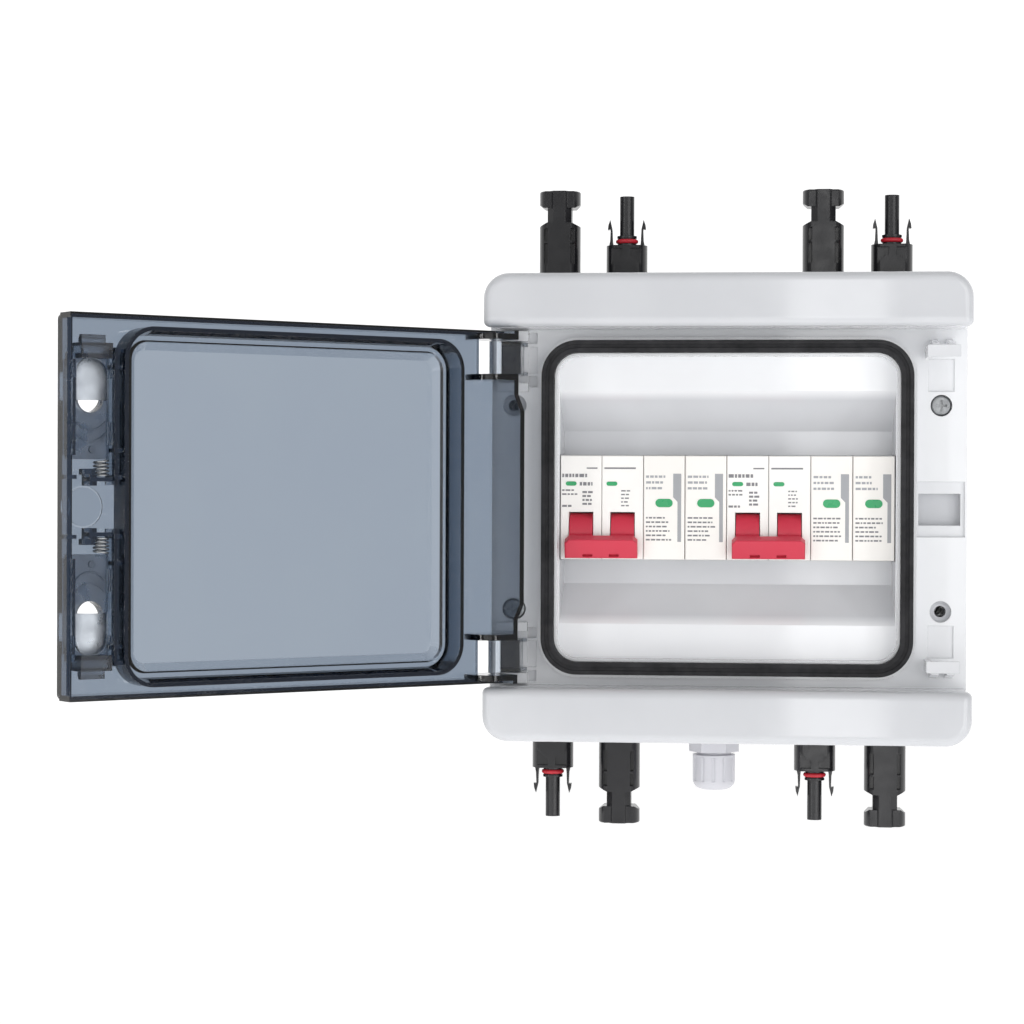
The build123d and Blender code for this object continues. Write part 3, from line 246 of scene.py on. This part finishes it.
def make_looks():
    """A look for each slot. The last numbers of a moulded one are grain, grain depth and edge, in mm."""
    return {
        "shell": shell_plastic(),
        "smoked_clear": smoked("smoked_polycarbonate", 500),
        "latch": smoked("smoked_latch", 430, 0.3),
        "hinge": smoked("smoked_hinge", 150, 0.12),
        "gasket": rubber("gasket_rubber", (0.022, 0.022, 0.024), 0.75, Specular_IOR_Level=0.25),
        "toggle": moulded("toggle_red", (0.60, 0.03, 0.065), 0.38, 0.3, 0.004, 0.3),
        "status_window": moulded("status_green", (0.04, 0.36, 0.14), 0.25, 0.3, 0.002, 0.1),
        "breaker_case": moulded("breaker_white", (0.90, 0.885, 0.86), 0.42, 0.25, 0.006, 0.3),
        "arrester_case": moulded("arrester_white", (0.90, 0.875, 0.84), 0.45, 0.25, 0.006, 0.3),
        "clip": moulded("rail_clip_grey", (0.10, 0.10, 0.11), 0.5, 0.3, 0.006, 0.2),
        "connector": moulded("connector_black", (0.010, 0.010, 0.012), 0.2, 0.3, 0.004, 0.45, IOR=1.5),
        "red_seal": rubber("seal_silicone_red", (0.50, 0.015, 0.03), 0.4, 0.4, 0.01),
        "washer": rubber("washer_rubber", (0.03, 0.03, 0.03), 0.65),
        "contact": metal("contact_tin", (0.72, 0.71, 0.68), 0.28, (1, 1, 0.2)),
        "nylon": moulded("gland_nylon", (0.60, 0.60, 0.64), 0.33, 0.4, 0.006, 0.5),
        "brass": metal("brass_bar", (0.71, 0.52, 0.22), 0.3, (0.2, 1, 1)),
        "steel": metal("zinc_steel", (0.34, 0.35, 0.36), 0.4, (0.3, 1, 1)),
        "wire_red": moulded("wire_red_pvc", (0.55, 0.02, 0.02), 0.35, 0.5, 0.004, 0.0),
        "wire_black": moulded("wire_black_pvc", (0.015, 0.015, 0.016), 0.35, 0.5, 0.004, 0.0),
        "wire_earth": moulded("wire_earth_pvc", (0.20, 0.42, 0.05), 0.35, 0.5, 0.004, 0.0),
    }


def make_materials():
    looks = make_looks()
    for row in frame["record"]["subparts"]:
        name = row["node"]
        look = looks[OWN_LOOK.get(name, row["material_slot"])]
        for place in frame["nodes"][name].material_slots:
            place.material = look


# ---------------------------------------------------------------- printing on the modules

NOSE_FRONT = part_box("arrester_left_cartridges")[0].y
PRINT_T = 0.04 * MM
PRINT_BACK = NOSE_FRONT - 0.2 * PRINT_T
PRINT_FRONT = NOSE_FRONT - PRINT_T

# In mm: the modules stand in pairs, and each pair is given by its left edge
MODULE_PITCH = 18.0
BREAKERS = (-72.0, 0.0)
ARRESTERS = (-36.0, 36.0)

# Broken lines of print: the share of its block that a line fills, and in mm its words' lengths and gaps
LINE_FILL = (0.7, 1.0)
WORD_LENGTH = (0.7, 2.2)
WORD_GAP = 0.45
SHORTEST_WORD = 0.5

# Print on the two modules of a breaker, in mm. Left edges are from the module's middle.
Bar = namedtuple("Bar", "left middle length height")
Block = namedtuple("Block", "left top width lines height step")
BREAKER_BARS = (Bar(2.4, 17.0, 4.7, 0.6), Bar(-7.9, 17.0, 13.6, 0.7))
BREAKER_TEXT = (
    (
        Block(-8.2, 13.8, 14.0, 1, 1.5, 0.0),
        Block(-0.6, 10.2, 6.0, 1, 1.5, 0.0),
        Block(-8.2, 7.4, 7.0, 2, 0.7, 1.7),
        Block(0.6, 6.6, 5.0, 4, 0.9, 1.7),
        Block(-8.2, 0.6, 6.0, 1, 0.9, 0.0),
    ),
    (Block(-0.6, 7.2, 4.5, 5, 0.6, 1.6),),
)

# Print on each module of an arrester
ARRESTER_RATINGS = Block(-7.8, -4.4, 12.0, 6, 0.7, 1.9)
ARRESTER_TITLE = Block(-7.8, 13.4, 9.5, 3, 1.0, 2.5)

# The grey strip down its right side, with the z of its ends and of the slope between its two widths
STRIP_RIGHT = 7.4
STRIP_WIDE = 3.5
STRIP_NARROW = 1.6
STRIP_ENDS = (-14.8, 14.7)
STRIP_SLOPE = (2.5, 4.5)


def thin_prism(bm, outline):
    """A thin flat piece on the noses, from an outline of (x, z) points in mm, counted anticlockwise."""
    back = [bm.verts.new((x * MM, PRINT_BACK, z * MM)) for x, z in outline]
    front = [bm.verts.new((x * MM, PRINT_FRONT, z * MM)) for x, z in outline]
    bm.faces.new(front)
    bm.faces.new(list(reversed(back)))
    for here in range(len(outline)):
        after = (here + 1) % len(outline)
        bm.faces.new((front[here], back[here], back[after], front[after]))


def bar(bm, left, middle, length, height):
    low = middle - height / 2
    high = middle + height / 2
    right = left + length
    thin_prism(bm, [(left, low), (right, low), (right, high), (left, high)])


def small_print(bm, module, block, rng):
    """Unreadable lines of small print, as broken bars, for the module whose middle is at x = module."""
    for line in range(block.lines):
        left = module + block.left
        end = left + block.width * rng.uniform(*LINE_FILL)
        while left < end - SHORTEST_WORD:
            word = min(rng.uniform(*WORD_LENGTH), end - left)
            bar(bm, left, block.top - line * block.step, word, block.height)
            left += word + WORD_GAP


def strip(bm, module):
    right = module + STRIP_RIGHT
    wide = right - STRIP_WIDE
    narrow = right - STRIP_NARROW
    bottom, top = STRIP_ENDS
    slope_low, slope_high = STRIP_SLOPE
    thin_prism(bm, [
        (right, bottom), (right, top), (wide, top), (wide, slope_high), (narrow, slope_low), (narrow, bottom),
    ])


def print_piece(name, bm, look):
    mesh = bpy.data.meshes.new(name)
    bmesh.ops.recalc_face_normals(bm, faces=bm.faces)
    bm.to_mesh(mesh)
    bm.free()
    mesh.materials.append(look)
    piece = bpy.data.objects.new(name, mesh)
    bpy.context.collection.objects.link(piece)
    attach(piece, "enclosure")


def module_middles(pair):
    return [pair + MODULE_PITCH / 2, pair + 1.5 * MODULE_PITCH]


def make_prints():
    rng = random.Random(4)
    ink = bmesh.new()
    for pair in BREAKERS:
        for module, (left, middle, length, height) in zip(module_middles(pair), BREAKER_BARS):
            bar(ink, module + left, middle, length, height)
        for module, blocks in zip(module_middles(pair), BREAKER_TEXT):
            for block in blocks:
                small_print(ink, module, block, rng)
    arresters = [module for pair in ARRESTERS for module in module_middles(pair)]
    for module in arresters:
        small_print(ink, module, ARRESTER_RATINGS, rng)
    print_piece("print_ink", ink, moulded("ink_dark", (0.20, 0.20, 0.215), 0.5, 0.3, 0.002, 0.0))

    strips = bmesh.new()
    for module in arresters:
        small_print(strips, module, ARRESTER_TITLE, rng)
        strip(strips, module)
    print_piece("print_strips", strips, moulded("ink_grey", (0.36, 0.37, 0.39), 0.5, 0.3, 0.002, 0.0))


# ---------------------------------------------------------------- studio

# The camera fitted to the photograph, with a 36 mm sensor
CAMERA_AT = Vector((17.0, -1243.6, 5.3)) * MM
CAMERA_YAW = math.radians(5.38)
CAMERA_TILT = math.radians(-0.365)
CAMERA_ROLL = math.radians(0.22)
CAMERA_LENS = 94.9
CAMERA_SENSOR = 36

# The floor, in metres below the part, and how much it glows
FLOOR_DROP = 0.6
FLOOR_HALF = 8
FLOOR_GLOW = 0.45

# The sky that the camera sees, and the sky that lights the part: its levels run from behind the camera (0)
# round the sides (0.5) to behind the part (1)
SKY_SEEN = 1.15
SKY_LIT = 1.1
SKY_LEVELS = ((0.0, 0.35), (0.22, 0.38), (0.42, 0.33), (0.60, 0.50), (0.82, 1.0))

# Softboxes: name, place, width and height in metres, and watts. All of them face the front of the box.
LIT_POINT = Vector((0.0, -0.1, 0.0))
SOFTBOXES = (
    ("softbox_right", (0.088, -1.70, 0.1), 0.10, 1.2, 1.25),
    ("softbox_left", (-0.605, -1.55, 0.1), 0.8, 1.4, 2.5),
    ("softbox_far_right", (0.75, -1.5, 0.1), 0.6, 1.4, 5),
    ("softbox_top", (0.1, -1.3, 1.3), 1.4, 0.9, 1),
    ("strip_left", (-1.0, -0.95, 0.1), 0.12, 1.6, 2.5),
    ("strip_right", (1.0, -0.95, 0.1), 0.12, 1.6, 2.5),
)


def make_camera():
    data = bpy.data.cameras.new("camera")
    data.sensor_width = CAMERA_SENSOR
    data.lens = CAMERA_LENS
    data.clip_start = 0.05
    data.clip_end = 100
    camera = bpy.data.objects.new("camera", data)
    bpy.context.collection.objects.link(camera)
    turn = Matrix.Rotation(CAMERA_YAW, 4, "Z") @ Matrix.Rotation(math.pi / 2 + CAMERA_TILT, 4, "X")
    camera.matrix_world = Matrix.Translation(CAMERA_AT) @ turn @ Matrix.Rotation(CAMERA_ROLL, 4, "Z")
    bpy.context.scene.camera = camera


def make_softbox(name, at, width, height, watts):
    data = bpy.data.lights.new(name, "AREA")
    data.shape = "RECTANGLE"
    data.size = width
    data.size_y = height
    data.energy = watts
    light = bpy.data.objects.new(name, data)
    bpy.context.collection.objects.link(light)
    light.location = at
    light.rotation_euler = (LIT_POINT - Vector(at)).to_track_quat("-Z", "Y").to_euler()


def make_world():
    """White all round for the camera; the light itself comes mostly from the front and the back."""
    world = bpy.data.worlds.new("studio")
    bpy.context.scene.world = world
    world.use_nodes = True
    nodes = world.node_tree.nodes
    links = world.node_tree.links
    nodes.clear()
    output = nodes.new("ShaderNodeOutputWorld")
    seen = nodes.new("ShaderNodeBackground")
    seen.inputs["Color"].default_value = (1, 1, 1, 1)
    seen.inputs["Strength"].default_value = SKY_SEEN
    lit = nodes.new("ShaderNodeBackground")
    lit.inputs["Strength"].default_value = SKY_LIT
    ray = nodes.new("ShaderNodeLightPath")
    mix = nodes.new("ShaderNodeMixShader")
    place = nodes.new("ShaderNodeTexCoord")
    split = nodes.new("ShaderNodeSeparateXYZ")
    span = nodes.new("ShaderNodeMapRange")
    span.inputs["From Min"].default_value = -1.0
    span.inputs["From Max"].default_value = 1.0
    ramp = nodes.new("ShaderNodeValToRGB")
    stops = ramp.color_ramp.elements
    while len(stops) < len(SKY_LEVELS):
        stops.new(0.5)
    for stop, (at, level) in zip(stops, SKY_LEVELS):
        stop.position = at
        stop.color = (level, level, level, 1)
    links.new(place.outputs["Generated"], split.inputs["Vector"])
    links.new(split.outputs["Y"], span.inputs["Value"])
    links.new(span.outputs["Result"], ramp.inputs["Fac"])
    links.new(ramp.outputs["Color"], lit.inputs["Color"])
    links.new(ray.outputs["Is Camera Ray"], mix.inputs["Fac"])
    links.new(lit.outputs["Background"], mix.inputs[1])
    links.new(seen.outputs["Background"], mix.inputs[2])
    links.new(mix.outputs["Shader"], output.inputs["Surface"])


def make_floor():
    bm = bmesh.new()
    bmesh.ops.create_grid(bm, x_segments=1, y_segments=1, size=FLOOR_HALF)
    mesh = bpy.data.meshes.new("floor")
    bm.to_mesh(mesh)
    bm.free()
    floor = bpy.data.objects.new("floor", mesh)
    bpy.context.collection.objects.link(floor)
    floor.location.z = CAD_BOX[0].z - FLOOR_DROP
    look = Look("floor_pale", (0.95, 0.95, 0.95), 0.9)
    look.vary_color((0.93, 0.93, 0.93), (0.97, 0.97, 0.97), look.ramp(look.noise(200), 0, 1))
    look.shader.inputs["Emission Color"].default_value = (1, 1, 1, 1)
    look.shader.inputs["Emission Strength"].default_value = FLOOR_GLOW
    mesh.materials.append(look.material)


def make_studio():
    make_camera()
    make_world()
    make_floor()
    bpy.context.scene.view_settings.view_transform = "Standard"
    for softbox in SOFTBOXES:
        make_softbox(*softbox)


# ---------------------------------------------------------------- springs on the door


def make_springs():
    """Copies of the latch springs, attached to the door, with the original parts hidden."""
    for end, fixed_end in (("upper", 0), ("lower", 1)):
        name = f"latch_{end}_spring"
        piece = bpy.data.objects.new(f"spring_{end}", frame["nodes"][name].data.copy())
        bpy.context.collection.objects.link(piece)
        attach(piece, "door")
        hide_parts(name)
        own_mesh(piece)


make_studio()
make_materials()
make_prints()
make_springs()
